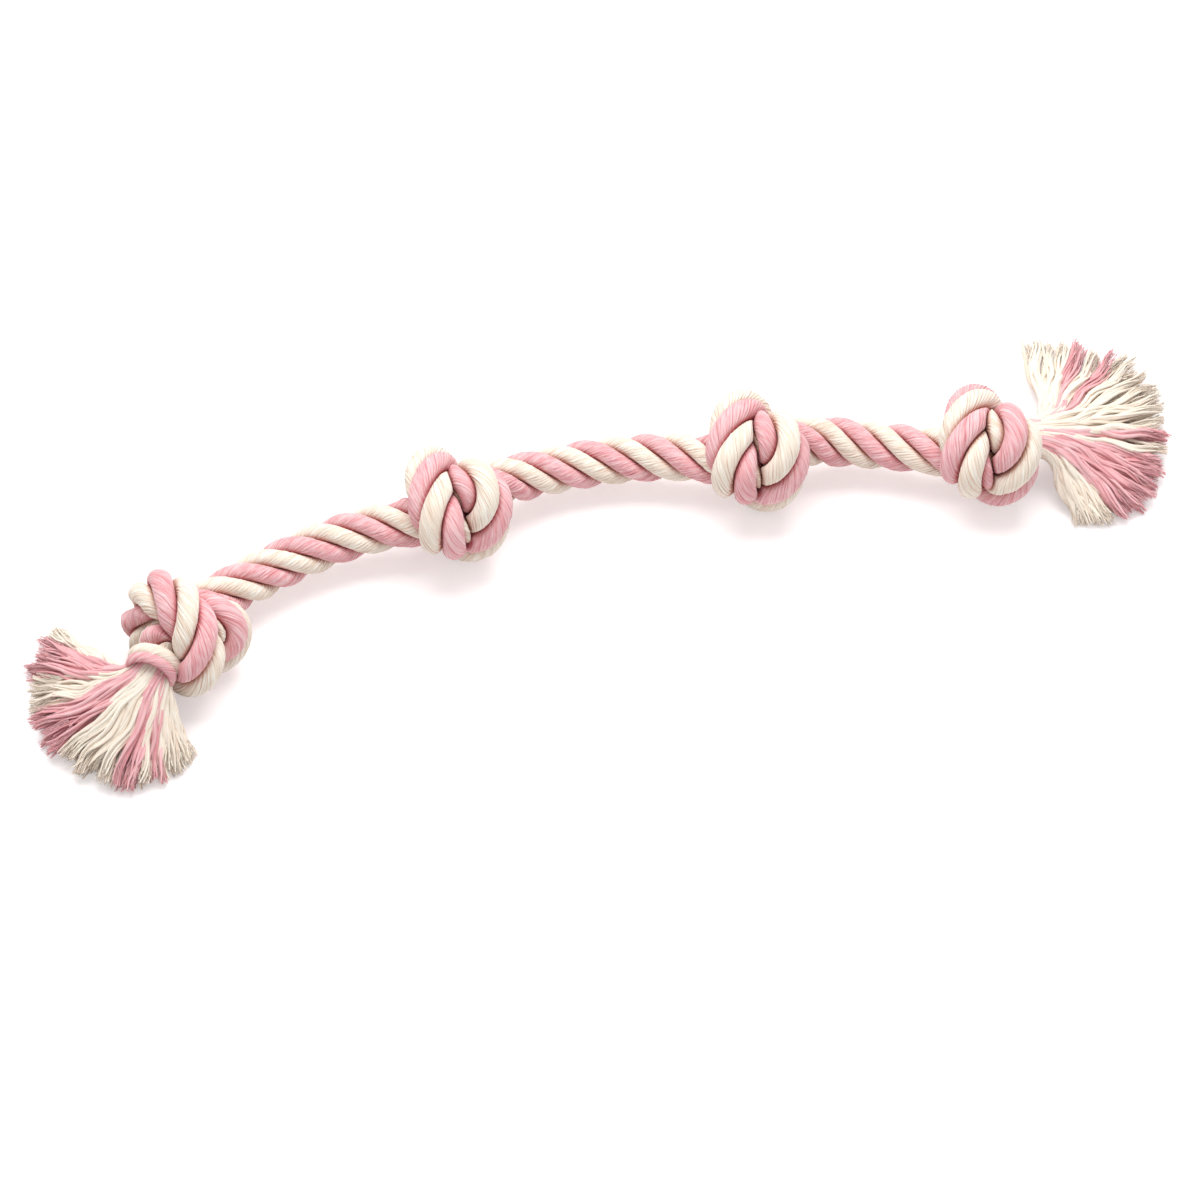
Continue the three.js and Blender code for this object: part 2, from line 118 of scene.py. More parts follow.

# Where the painted shade of a crease starts and where it is full: toward the next strand, toward
# the rope's heart and where another pass presses on the strand
PAINTED_SHADE_BESIDE = (0.84, 1.04)
PAINTED_SHADE_INSIDE = (0.2, 0.7)
PAINTED_SHADE_PRESSED = (0.05, 0.2)

# Tassels, as the frame has them. The locks' tones follow each other from a fan's right-hand edge
# to its left-hand edge, seen from the knot: p is pink and c is cream.
TASSEL_REACH = 76 * MM
FANS = {
    "left": dict(
        heading=205,
        angle=83,
        root_height=1.25,
        seed=11,
        reaches=[0.92, 0.84, 0.74, 0.68, 0.5],
        tones="cpppcccppppcccccppcpcccc",
    ),
    "right": dict(
        heading=-2,
        angle=80,
        root_height=1.0,
        seed=23,
        reaches=[0.52, 0.8, 0.88, 1.04, 1],
        tones="ccccppppppcpccccccpcpccc",
    ),
}
TIP_HEIGHTS = (1.6 * MM, 11.6 * MM)
BUNDLE_SHARE = 0.9
LEFT_NECK_END = 30 * MM
RIGHT_NECK_END = 23 * MM

# How the locks leave the rope: how deep in the neck they start, how far past its end they run on
# straight, how far out they have turned for their place in the fan, and how they wave. Inside
# them the strands shrink over the stub's length.
LOCK_LAYERS = (-0.62, 0.0, 0.62)
LOCK_POINTS = 18
ROOT_DEPTH = 9 * MM
LOCK_LEAD_SHARE = 0.2
LOCK_TURN_SHARE = 0.42
LOCK_DROOP_SHARE = 0.4
LOCK_REACHES = (0.9, 1.02)
LOCK_SIZES = (0.85, 1.2)
LOCK_GROWTH = (0.1, 0.6)
MIDDLE_STAGGER = 0.9
OUTER_STAGGER = 0.5
STAGGER_CHANGE = 0.2
WAVE_SIDEWAYS = 1.6 * MM
WAVE_UPWARD = 0.9 * MM
WAVE_LENGTHS = (24 * MM, 44 * MM)
WAVE_START = (8 * MM, 30 * MM)
WAVE_SIZES = (0.4, 1)
STUB_LENGTH = 8 * MM
STUB_SHARE = 0.5

# Where the tassels bend, measured along the rope from its end: the left one with its collar,
# from past the end, and the neck of the right one
LEFT_BEND = (-10 * MM, 20 * MM)
RIGHT_BEND = (19 * MM, 1.5 * MM)

# How much less uneven in length than the yarns the wisps are, and how many times further they
# stray, and the sides of both
WISP_FRAY_SHARE = 0.3
WISP_SPREAD = 4.5
YARN_SIDES = 8
WISP_SIDES = 3

# Bands of the collar: where along the neck they lie, their half width and half thickness, how far
# they stand off it, and how far their top leans toward the tassel
COLLAR_BANDS = [
    dict(tone="cream", arc=6 * MM, width=3.5 * MM, height=2.3 * MM, off=0.2 * MM, lean=0.22, seed=24),
    dict(tone="pink", arc=0.0, width=3.2 * MM, height=2.0 * MM, off=0.0, lean=0.1, seed=23),
]
# Where the painted shade on a band's inner side, against the neck, starts and where it is full
BAND_PAINTED_SHADE = (-0.2, 0.5)
BAND_YARNS = 14
BAND_RINGS = 96
BAND_TURNS = 3

# The photograph's view: where its middle meets the floor, its direction, and its width there
VIEW_MIDDLE = Vector((-4.2 * MM, -18.7 * MM, 0))
VIEW_AZIMUTH = -105.6
VIEW_ELEVATION = 57.0
VIEW_WIDTH = 587 * MM
LENS = 200.0
SENSOR = 36.0

# The stage: half the floor's side in metres, how much it glows in the camera's eyes, and the soft
# box's size, place and watts for a radiance of 1
FLOOR_HALF = 6.0
FLOOR_GLOW = 0.35
SOFT_BOX_SIZE = (1.4, 1.0)
SOFT_BOX_PLACE = (0.1, 0.5, 1.5)
SOFT_BOX_WATTS = 10


def setting(name, description, default, **more):
    """A number, or a colour as sRGB hex, that a user may change."""
    kinds = {int: bpy.props.IntProperty, float: bpy.props.FloatProperty, str: bpy.props.StringProperty}
    return kinds[type(default)](name=name, description=description, default=default, **more)


def length(name, description, default):
    return setting(name, description, default, subtype="DISTANCE", unit="LENGTH")


class RopeSettings(bpy.types.PropertyGroup):
    yarns: setting("Yarns in a strand", "How many yarns show round one strand", 22)
    yarn_depth: length("Yarn depth", "How deep the grooves between the yarns are", 0.34 * MM)
    yarn_pitch: length("Yarn pitch", "Rope over which a strand's yarns turn once", 25 * MM)
    ring_step: length("Ring step", "Length of rope between two rings of the mesh", 1.6 * MM)


class TasselSettings(bpy.types.PropertyGroup):
    yarns: setting("Yarns in a lock", "Yarns that cling together in a lock", 13)
    yarn_radius: length("Yarn radius", "Half the thickness of a let-out yarn", 0.8 * MM)
    lock_size: length("Lock size", "Half the thickness of a lock where it is thickest", 2.1 * MM)
    root_size: length("Root size", "Half the thickness of a lock in the neck", 1.5 * MM)
    twist: setting("Twist", "Turn of the yarns along a lock", 4.5, subtype="ANGLE")
    fray: setting("Fray", "How far the tips are spread and uneven", 0.22)
    unevenness: length("Unevenness", "How far yarns stray from their lock at its tip", 1.9 * MM)
    wisps: setting("Wisps", "Single fibres that stand off the tip of a lock", 34)
    wisp_radius: length("Wisp radius", "Half a wisp's thickness, more than real to show", 0.12 * MM)
    wisp_start: setting("Wisp start", "Share of a lock's length where its wisps begin", 0.78)


class FinishSettings(bpy.types.PropertyGroup):
    pink: setting("Pink", "Dyed cotton, as sRGB hex", "e8aaae")
    cream: setting("Cream", "Undyed cotton, as sRGB hex", "f2ebda")
    # Darker colours of the painted shade in creases, in grooves between yarns and under locks, which
    # also tint each cotton's base tone
    pink_crease: setting("Pink in creases", "Dyed cotton in creases, as sRGB hex", "c95f69")
    cream_crease: setting("Cream in creases", "Undyed cotton in creases, as sRGB hex", "cf987a")


class StageSettings(bpy.types.PropertyGroup):
    floor: setting("Floor", "Paper of the floor, as sRGB hex", "f4efef")
    lamp_strength: setting("Lamp strength", "Radiance of the soft box overhead", 2.56)
    sky_strength: setting("Sky strength", "Light from all round", 0.62)


# Colours and nodes


WHITE = (1, 1, 1, 1)


def srgb(text):
    """A linear colour from sRGB hex."""
    values = [int(text[i : i + 2], 16) / 255 for i in (0, 2, 4)]
    linear = [v / 12.92 if v <= 0.04045 else ((v + 0.055) / 1.055) ** 2.4 for v in values]
    return (*linear, 1.0)


def add_node(tree, kind, links=None, **settings):
    """Adds a node with its settings, and links its inputs or sets them. A node given for an input
    is linked by the first output that it has with its settings."""
    node = tree.nodes.new(kind)
    for name, value in settings.items():
        setattr(node, name, value)
    for socket, value in (links or {}).items():
        target = node.inputs[socket]
        if isinstance(value, bpy.types.Node):
            value = next(output for output in value.outputs if output.enabled)
        if isinstance(value, bpy.types.NodeSocket):
            tree.links.new(value, target)
        else:
            target.default_value = value
    return node


# Objects and meshes


def add_object(name, data):
    made = bpy.data.objects.new(name, data)
    bpy.context.scene.collection.objects.link(made)
    return made


def store(mesh, name, values):
    """Stores a value or a vector for each point of a mesh."""
    values = np.asarray(values, np.float32)
    kind, key = ("FLOAT", "value") if values.ndim == 1 else ("FLOAT_VECTOR", "vector")
    mesh.attributes.new(name, kind, "POINT").data.foreach_set(key, values.ravel())


def yarn_mesh(name, points, faces, places, creases, material):
    """A smooth mesh with its yarn places as UV map and its crease depth, which sets its painted shade.
    """
    mesh = bpy.data.meshes.new(name)
    mesh.from_pydata(np.vstack(points).tolist(), [], faces, shade_flat=False)
    uv = mesh.uv_layers.new(name="Yarns")
    loops = np.zeros((len(mesh.loops), 2), np.float32)
    loops[: len(places)] = places
    uv.data.foreach_set("uv", loops.ravel())
    store(mesh, "crease", np.concatenate(creases))
    mesh.materials.append(material)
    mesh.update()
    return mesh


# Path of the rope


def path_lengths(line):
    steps = np.linalg.norm(np.diff(line, axis=0), axis=1)
    return np.concatenate([[0.0], np.cumsum(steps)])


def unit(vectors):
    return vectors / np.linalg.norm(vectors, axis=-1, keepdims=True)


def evenly(line, count):
    walked = path_lengths(line)
    places = np.linspace(0, walked[-1], count)
    return np.stack([np.interp(places, walked, line[:, k]) for k in range(3)], axis=1)


def polynomial_curve(t):
    spread = np.array([0.8, 0.6, 0.25])
    return np.stack([t**3 - 3 * t, t**4 - 4 * t**2, (t**5 - 10 * t) / 5], axis=-1) * spread


def tight_knot():
    """A long overhand knot in a rope of unit diameter, tightened until its passes touch."""
    points = 90
    rounds = 2600
    tension = 0.5
    bend_length = 1.55
    lead_reach = 3.4
    reach = 2.1
    knot = polynomial_curve(np.linspace(-reach, reach, points))
    knot[:, 1] -= polynomial_curve(np.array(reach))[1]
    line = np.vstack([[-lead_reach, 0, 0], knot, [lead_reach, 0, 0]])
    order = np.arange(points)
    apart_by = np.abs(order[:, None] - order[None, :])
    for _ in range(rounds):
        line = evenly(line, points)
        step = path_lengths(line)[-1] / (points - 1)
        apart = math.floor(bend_length / step + 0.5)
        middles = (line[:-2] + line[2:]) / 2
        line[1:-1] += tension * (middles - line[1:-1])
        across = line[None, :, :] - line[:, None, :]
        distance = np.sqrt((across**2).sum(axis=2))
        near = (apart_by >= apart) & (distance < 1)
        safe = np.where(near, distance, 1.0)
        push = np.where(near, (1 - safe) / (2 * safe), 0.0)
        moves = -(push[:, :, None] * across).sum(axis=1)
        counts = np.maximum(near.sum(axis=1), 1)
        line[1:-1] += (moves / np.sqrt(counts)[:, None])[1:-1]
    return evenly(line, points)


def knot_path(tight):
    place = (tight - (tight[0] + tight[-1]) / 2) * PRESSED_SHARES * ROPE_DIAMETER
    aside = place[:, 0] / (LIFT_REACH_SHARE * ROPE_DIAMETER)
    place[:, 2] += LIFT_SHARE * place[:, 0] * np.exp(-(aside**2))
    place[:, 0] += SQUARING_SHARE * place[:, 2]
    return place


def turned(points, axis, angle):
    """Points turned about an axis through zero, by an angle or by one angle each."""
    axis = unit(np.array(axis, float))
    cos, sin = np.cos(angle), np.sin(angle)
    cos, sin = np.reshape(cos, (-1, 1)), np.reshape(sin, (-1, 1))
    along = (points @ axis)[:, None] * axis
    return points * cos + np.cross(axis, points) * sin + along * (1 - cos)


def smoothstep(value, low, high):
    share = np.clip((value - low) / (high - low), 0, 1)
    return share * share * (3 - 2 * share)


def bent_leads(place):
    """The first knot's two leads, bent toward the front and the floor."""
    start = LEAD_START_SHARE * ROPE_DIAMETER
    share = smoothstep(np.abs(place[:, 0]), start, LEAD_END_SHARE * ROPE_DIAMETER)
    bent = place.copy()
    for side, angle in zip((-1, 1), LEAD_TURNS):
        mine = np.sign(place[:, 0]) == side
        pivot = np.array([side * start, 0, 0])
        axis = (0, side * LEAD_DROP_SHARE, 1)
        bent[mine] = turned(place[mine] - pivot, axis, math.radians(angle) * share[mine]) + pivot
    return bent


def knot_middles():
    middles = [FIRST_KNOT]
    for spacing, heading in zip(SPACINGS, STRETCH_HEADINGS):
        angle = math.radians(heading)
        middles.append(middles[-1] + spacing * np.array([math.cos(angle), math.sin(angle), 0]))
    return middles


def placed_knots():
    path = knot_path(tight_knot())
    reach = KNOT_REACH_SHARE * ROPE_DIAMETER
    left_end = TASSEL_NECK_SHARE * ROPE_DIAMETER + LEFT_NECK_LENGTH
    right_end = TASSEL_NECK_SHARE * ROPE_DIAMETER + RIGHT_NECK_LENGTH
    lead_part = 0.25
    order = np.arange(len(path)) / len(path)
    is_lead = (order < lead_part) | (order > 1 - lead_part)
    last = len(KNOT_HEADINGS) - 1
    knots = []
    for k, middle in enumerate(knot_middles()):
        left = left_end if k == 0 else reach
        right = right_end if k == last else reach
        place = path[~is_lead | ((path[:, 0] > -left) & (path[:, 0] < right))]
        if k == 0:
            place = bent_leads(place)
        for axis, angles in zip(np.eye(3), (KNOT_ROLLS, KNOT_PITCHES, KNOT_HEADINGS)):
            place = turned(place, axis, math.radians(angles[k]))
        lift = ROPE_RADIUS - FLOOR_CUT - place[:, 2].min()
        knots.append(place + middle + np.array([0, 0, lift]))
    return knots


def stretch_between(before, after):
    steps = 24
    start, end = before[-1], after[0]
    span = np.linalg.norm(end - start)
    leave = (start - before[-3]) * span / np.linalg.norm(start - before[-3])
    arrive = (after[2] - end) * span / np.linalg.norm(after[2] - end)
    t = (np.arange(1, steps) / steps)[:, None]
    line = start * (2 * t**3 - 3 * t**2 + 1) + leave * (t**3 - 2 * t**2 + t)
    return line + end * (-2 * t**3 + 3 * t**2) + arrive * (t**3 - t**2)


class Rope:
    """The rope's path, the frame carried along it and how far its strands have turned."""

    def __init__(self):
        knots = placed_knots()
        pieces = [knots[0]]
        for before, after in zip(knots, knots[1:]):
            pieces += [stretch_between(before, after), after]
        line = np.vstack(pieces)
        points_per_radius = 8
        smoothing_rounds = 8
        count = round(path_lengths(line)[-1] * points_per_radius / ROPE_RADIUS) + 1
        path = evenly(line, count)
        for _ in range(smoothing_rounds):
            middles = (path[:-2] + path[2:]) / 2
            path[1:-1] = (path[1:-1] + middles) / 2
        self.path = path
        self.step = path_lengths(path)[-1] / (len(path) - 1)
        self.length = self.step * (len(path) - 1)
        self.arcs = [[self.nearest_arc(knot[0]), self.nearest_arc(knot[-1])] for knot in knots]
        self.carry_frame()

    def nearest_arc(self, mark):
        return int(np.argmin(np.linalg.norm(self.path - mark, axis=1))) * self.step

    def carry_frame(self):
        path, step = self.path, self.step
        padded = np.vstack([path[:1], path, path[-1:]])
        along = unit(padded[2:] - padded[:-2])
        padded = np.vstack([along[:1], along, along[-1:]])
        self.along = along
        self.bends = (padded[2:] - padded[:-2]) / (2 * step)
        ups = []
        up = np.array([0.0, 0.0, 1.0])
        for t in along:
            up = unit(up - t * (up @ t))
            ups.append(up)
        self.ups = np.array(ups)
        self.sides = np.cross(along, self.ups)
        bent = 1 + KNOT_LAY_SHARE * np.linalg.norm(self.bends, axis=1) * ROPE_RADIUS
        laid = np.concatenate([[0.0], np.cumsum(math.tau * step * bent / LAY_LENGTH)[:-1]])
        arcs = np.arange(len(path)) * step
        self.turns = laid + np.radians([self.knot_turn(arc) for arc in arcs])

    def knot_turn(self, arc):
        """The strands' extra turn, eased over each stretch from one knot's to the next one's."""
        for k in range(len(self.arcs) - 1):
            start, end = self.arcs[k][1], self.arcs[k + 1][0]
            if arc <= start:
                return STRAND_TURNS[k]
            if arc < end:
                share = smoothstep(arc, start, end)
                return STRAND_TURNS[k] + share * (STRAND_TURNS[k + 1] - STRAND_TURNS[k])
        return STRAND_TURNS[-1]

    def at(self, arcs):
        """The rope's centre, direction, bend, up, side and turn at arc lengths along it."""
        place = np.clip(np.asarray(arcs, float) / self.step, 0, len(self.path) - 1)
        i = np.minimum(place.astype(int), len(self.path) - 2)
        share = place - i

        def mixed(values):
            weight = share[..., None] if values.ndim > 1 else share
            return values[i] * (1 - weight) + values[i + 1] * weight

        return {
            "centre": mixed(self.path),
            "along": unit(mixed(self.along)),
            "bend": mixed(self.bends),
            "up": unit(mixed(self.ups)),
            "side": unit(mixed(self.sides)),
            "turn": mixed(self.turns),
        }

    def station(self, arc):
        return {name: value[0] for name, value in self.at([arc]).items()}

    def cuts(self):
        """Arc lengths at which the frame's bodies are hinged."""
        found = [LEFT_NECK_LENGTH]
        for before, after in zip(self.arcs, self.arcs[1:]):
            found += [before[1] + share * (after[0] - before[1]) for share in BEND_SHARES]
        return found + [self.length - RIGHT_NECK_LENGTH]


ROPE = Rope()


# Strands with their yarns


def soft_lesser(length, limit):
    sharpness = 8.0
    return (length**-sharpness + limit**-sharpness) ** (-1 / sharpness)


def neck_scale(arc):
    """How far the rope narrows toward the tassels."""
    places = arc / LEFT_NECK_LENGTH, (ROPE.length - arc) / RIGHT_NECK_LENGTH
    return NECK_SHARE + (1 - NECK_SHARE) * smoothstep(min(places), TAPER_SHARE, 1)


def stub_scale(arc):
    """How far the strands shrink inside a tassel, where their yarns have left them."""
    from_end = min(arc, ROPE.length - arc)
    return STUB_SHARE + (1 - STUB_SHARE) * smoothstep(from_end, 0, STUB_LENGTH)


def free_reach(station, directions, others):
    reach = np.full(len(directions), FREE_REACH)
    if len(others):
        across = others - station["centre"]
        distance = np.linalg.norm(across, axis=1)
        facing = directions @ across.T
        limit = (distance**2 - PASS_GAP * distance) / (2 * np.maximum(facing, NEARLY_ZERO))
        reach = np.minimum(reach, np.where(facing > 0, limit, FREE_REACH).min(axis=1))
    inward = directions @ station["bend"]
    limit = BEND_FILL_SHARE / np.maximum(inward, NEARLY_ZERO)
    return np.minimum(reach, np.where(inward > 0, limit, FREE_REACH))


def yarn_heights_of(yarns, depth, arc, wobble):
    """Height of the surface round a strand: a round ridge for each yarn, each a little uneven."""
    place = (np.arange(yarns * YARN_COLUMNS) % YARN_COLUMNS) / YARN_COLUMNS
    ridge = np.sqrt(np.maximum(0.0, 1 - (2 * place - 1) ** 2))
    waves = np.sin(arc * wobble["rates"] + wobble["phases"]).mean(axis=1)
    uneven = np.repeat(waves, YARN_COLUMNS)
    return depth * ((ridge - 1) * (1 + YARN_DEPTH_CHANGE * uneven) + YARN_HEIGHT_CHANGE * uneven)


def yarn_wobble(settings, seed):
    chance = np.random.default_rng(seed)
    lengths = chance.uniform(*YARN_WAVE_LENGTHS, (settings.yarns, YARN_WAVES))
    phases = chance.uniform(0, math.tau, (settings.yarns, YARN_WAVES))
    return {"rates": math.tau / lengths, "phases": phases}


def strand_ring(settings, strand, arc, wobble):
    """One ring of points round a strand, and how deep in a crease each lies, for its painted shade."""
    station = ROPE.station(arc)
    columns = settings.yarns * YARN_COLUMNS
    twist = -math.tau * arc / settings.yarn_pitch
    around = math.tau * np.arange(columns) / columns + twist
    tangent_share = math.sin(math.pi / STRAND_COUNT)
    circle = ROPE_RADIUS * tangent_share / (1 + tangent_share)
    middle = ROPE_RADIUS - circle
    radius = circle - STRAND_GAP / 2
    x = middle + np.where(np.cos(around) > 0, radius, middle - HEART_RADIUS) * np.cos(around)
    y = FLATTENED_SHARE * radius * np.sin(around)
    reach = np.hypot(x, y)
    side = math.pi / STRAND_COUNT - np.arcsin(STRAND_GAP / 2 / reach)
    angle = np.arctan2(y, x)
    limited_angle = np.sign(angle) * soft_lesser(np.maximum(np.abs(angle), NEARLY_ZERO), side)
    total = math.tau * strand / STRAND_COUNT + limited_angle + station["turn"]
    directions = np.cos(total)[:, None] * station["up"] + np.sin(total)[:, None] * station["side"]
    scale = neck_scale(arc)
    bent = min(1.0, np.linalg.norm(station["bend"]) * ROPE_DIAMETER)
    swell = bent * SWELL_SHARE * (scale - NECK_SHARE) / (1 - NECK_SHARE)
    full = reach * (scale + swell) * stub_scale(arc)
    far = np.abs(np.arange(len(ROPE.path)) * ROPE.step - arc) > PASS_APART_SHARE * ROPE_DIAMETER
    near = np.linalg.norm(ROPE.path - station["centre"], axis=1) < PASS_NEAR_SHARE * ROPE_DIAMETER
    limit = free_reach(station, directions, ROPE.path[far & near])
    limited = soft_lesser(full, limit)
    ring = station["centre"] + directions * limited[:, None]
    outward = unit(ring - ring.mean(axis=0))
    bumps = yarn_heights_of(settings.yarns, settings.yarn_depth, arc, wobble)
    ring = ring + outward * bumps[:, None]
    ring[:, 2] = np.maximum(ring[:, 2], FLOOR_GAP)
    # Painted shade: darker toward the next strand, toward the rope's heart and where another pass
    # presses on the strand
    beside = smoothstep(np.abs(angle) / side, *PAINTED_SHADE_BESIDE)
    inside = smoothstep(-np.cos(around), *PAINTED_SHADE_INSIDE)
    pressed = smoothstep(1 - limited / full, *PAINTED_SHADE_PRESSED)
    return ring, np.clip(beside + inside + pressed, 0, 1)


def tube_normals(rings):
    """Normals of the points of a tube, but for its first and last ring."""
    along = rings[2:] - rings[:-2]
    inner = rings[1:-1]
    around = np.roll(inner, -1, axis=1) - np.roll(inner, 1, axis=1)
    return unit(np.cross(around, along))


def quad_corners(rows, columns):
    """Row and column of each face's four corners on a tube."""
    r, k = np.meshgrid(np.arange(rows), np.arange(columns), indexing="ij")
    rows = np.stack([r, r, r + 1, r + 1], axis=-1).reshape(-1, 4)
    return rows, np.stack([k, k + 1, k + 1, k], axis=-1).reshape(-1, 4)


def make_strands(name, strands, start, end, material):
    """A mesh object of strands between two arc lengths, with yarn places as its UV map."""
    settings = bpy.context.scene.toy_rope
    columns = settings.yarns * YARN_COLUMNS
    count = max(2, round((end - start) / settings.ring_step)) + 1
    step = (end - start) / (count - 1)
    arcs = start + step * np.arange(-1, count + 1)
    r, k = quad_corners(count - 1, columns)
    quads = r * columns + k % columns
    ends = ROPE.at([start, end])["along"]
    points, creases, faces, caps, loop_normals, cap_normals = [], [], [], [], [], []
    for i, strand in enumerate(strands):
        wobble = yarn_wobble(settings, strand)
        made = [strand_ring(settings, strand, arc, wobble) for arc in arcs]
        rings, depths = (np.array(part) for part in zip(*made))
        first = i * count * columns
        points.append(rings[1:-1].reshape(-1, 3))
        creases.append(depths[1:-1].ravel())
        faces.append(quads + first)
        loop_normals.append(tube_normals(rings).reshape(-1, 3)[quads.ravel()])
        caps.append(list(range(first, first + columns))[::-1])
        last = first + (count - 1) * columns
        caps.append(list(range(last, last + columns)))
        cap_normals += [np.repeat(-ends[:1], columns, 0), np.repeat(ends[1:], columns, 0)]
    places = np.stack([k / YARN_COLUMNS, arcs[1 + r] / MM], axis=-1).reshape(-1, 2)
    places = np.tile(places, (len(strands), 1))
    faces = np.vstack(faces).tolist() + caps
    mesh = yarn_mesh(name, points, faces, places, creases, material)
    mesh.normals_split_custom_set(np.vstack(loop_normals + cap_normals).tolist())
    return add_object(name, mesh)


# Finish


def blank_material(name):
    """A material without nodes, and the call that adds nodes to it."""
    material = bpy.data.materials.new(name)
    material.use_nodes = True
    material.node_tree.nodes.clear()
    return material, partial(add_node, material.node_tree)


def blend_of(first, second, share):
    """A colour between two linear ones."""
    return tuple(a + (b - a) * share for a, b in zip(first, second))


def finish_cotton(add, tone, mixes, relief, sheen):
    """Cotton's matt surface: its tones and painted shade, each mixed in by its share, its fibres and a
    soft sheen.
    """
    for share, toward in mixes:
        tone = add("ShaderNodeMix", {0: share, 6: tone, 7: toward}, data_type="RGBA")
    surface = {
        "Base Color": tone,
        "Normal": add("ShaderNodeBump", relief),
        "Roughness": 0.92,
        "Sheen Weight": sheen,
        "Sheen Roughness": 0.5,
    }
    add("ShaderNodeOutputMaterial", {"Surface": add("ShaderNodeBsdfPrincipled", surface)})


def laid_cotton(name, colour, painted_shade_colour):
    """Laid cotton yarn, spun from combed fibre: matt, with a soft sheen, a dark thread of painted
    shade between yarns and a warm dark painted shade where strands press together."""
    material, add = blank_material(name)
    base, crease = srgb(colour), srgb(painted_shade_colour)
    # The UV map counts yarns across a strand and millimetres along it. A yarn is 1.3 mm wide,
    # and the groove beside it is shaded over a quarter of that.
    place = add("ShaderNodeTexCoord").outputs["UV"]
    yarn = add("ShaderNodeSeparateXYZ", {0: place})
    # Lines wander by up to a third of a yarn over about 12 mm. Grooves open and close over about
    # 15 mm, each in its own way. Yarns differ in tone, and hold it for about 40 mm. Fibres are
    # drawn 0.3 mm wide, coarser than the real ones, which would not show.
    noises = []
    for x, y, detail in ((0.5, 0.08, 2.0), (0.8, 0.07, 2.0), (0.6, 0.025, 2.0), (4.0, 0.3, 4.0)):
        mapped = add("ShaderNodeMapping", {"Vector": place, "Scale": (x, y, 1)})
        noises.append(add("ShaderNodeTexNoise", {"Vector": mapped, "Scale": 1.0, "Detail": detail}))
    wander, unlike, toned, fibres = noises
    wandered = add("ShaderNodeMath", {0: wander, 1: 1.4, 2: yarn}, operation="MULTIPLY_ADD")
    across = add("ShaderNodeMath", {0: wandered, 1: 0.5}, operation="PINGPONG")
    limits = {"Value": across, 1: 0.0, 2: 0.25, 3: 1.0, 4: 0.0}
    groove = add("ShaderNodeMapRange", limits, interpolation_type="SMOOTHSTEP")
    opened = add("ShaderNodeMapRange", {"Value": unlike, 1: 0.4, 2: 0.62, 3: 0.08, 4: 1.0})
    line = add("ShaderNodeMath", {0: groove, 1: opened}, operation="MULTIPLY")
    shade = add("ShaderNodeMath", {0: toned, 1: 0.8, 2: fibres}, operation="MULTIPLY_ADD")
    light = add("ShaderNodeMapRange", {"Value": shade, 1: 0.72, 2: 1.06, 3: 0.0, 4: 1.0})
    painted_shade_depth = add("ShaderNodeAttribute", attribute_name="crease")
    # Painted shade: the grooves between yarns darken toward the crease colour, and the creases take it
    # in full
    mixes = (
        (light, blend_of(base, WHITE, 0.3)),
        (line, blend_of(base, crease, 0.72)),
        (painted_shade_depth.outputs["Fac"], crease),
    )
    height = add("ShaderNodeMath", {0: fibres, 1: -0.5, 2: line}, operation="MULTIPLY_ADD")
    relief = {"Height": height, "Strength": 0.6, "Distance": -0.35 * MM}
    finish_cotton(add, blend_of(base, crease, 0.3), mixes, relief, 0.25)
    return material


def let_out_cotton(name, colour, painted_shade_colour):
    """Combed cotton yarn let out of its lay: soft and matt, with each yarn a slightly different
    tone, and a warm dark painted shade on the locks' undersides, between the locks."""
    material, add = blank_material(name)
    base, crease = srgb(colour), srgb(painted_shade_colour)
    names = ("tone", "along", "section", "sunk")
    read = [add("ShaderNodeAttribute", attribute_name=name).outputs for name in names]
    tone, along, section, sunk = read
    # Fibres are drawn 0.6 mm wide and about 7 mm long, coarser than the real ones
    run = add("ShaderNodeMath", {0: along["Fac"], 1: 1 / (7 * MM)}, operation="MULTIPLY")
    shifted = add("ShaderNodeMath", {0: tone["Fac"], 1: 50.0, 2: run}, operation="MULTIPLY_ADD")
    lengthwise = add("ShaderNodeCombineXYZ", {2: shifted})
    drawn = {0: section["Vector"], 1: (1 / (0.6 * MM), 1 / (0.6 * MM), 0), 2: lengthwise}
    place = add("ShaderNodeVectorMath", drawn, operation="MULTIPLY_ADD")
    hair = add("ShaderNodeTexNoise", {"Vector": place, "Scale": 1.0, "Detail": 3.0})
    shade = add("ShaderNodeMath", {0: hair, 1: 3.0, 2: tone["Fac"]}, operation="MULTIPLY_ADD")
    light = add("ShaderNodeMapRange", {"Value": shade, 1: 1.2, 2: 2.9, 3: 0.0, 4: 1.0})
    # Painted shade: the lower yarns of each lock darken toward the crease colour
    mixes = ((light, blend_of(base, WHITE, 0.26)), (sunk["Fac"], blend_of(base, crease, 0.4)))
    relief = {"Height": hair, "Strength": 0.5, "Distance": 0.25 * MM}
    finish_cotton(add, blend_of(base, crease, 0.34), mixes, relief, 0.3)
    return material


DYES = {"pink": "dyed", "cream": "natural"}


def cotton(state, tone):
    """The material of laid or let-out yarn in one tone, made once."""
    finish = bpy.context.scene.toy_finish
    name = f"{DYES[tone]}_{state}_cotton_yarn"
    make = laid_cotton if state == "laid" else let_out_cotton
    # Its own colour and the darker colour of its painted shade
    colours = getattr(finish, tone), getattr(finish, f"{tone}_crease")
    return bpy.data.materials.get(name) or make(name, *colours)


# The strands of each tone
TONES = {"pink": (0, 2), "cream": (1, 3)}


def strand_nodes(group, tone):
    return [f"{group}_{tone}_strand_{letter}" for letter in "ab"]


def point_at(arc):
    """A point on the rope's middle line, which runs on straight past the ends."""
    station = ROPE.station(arc)
    past = arc - min(max(arc, 0.0), ROPE.length)
    return Vector(station["centre"] + past * station["along"])


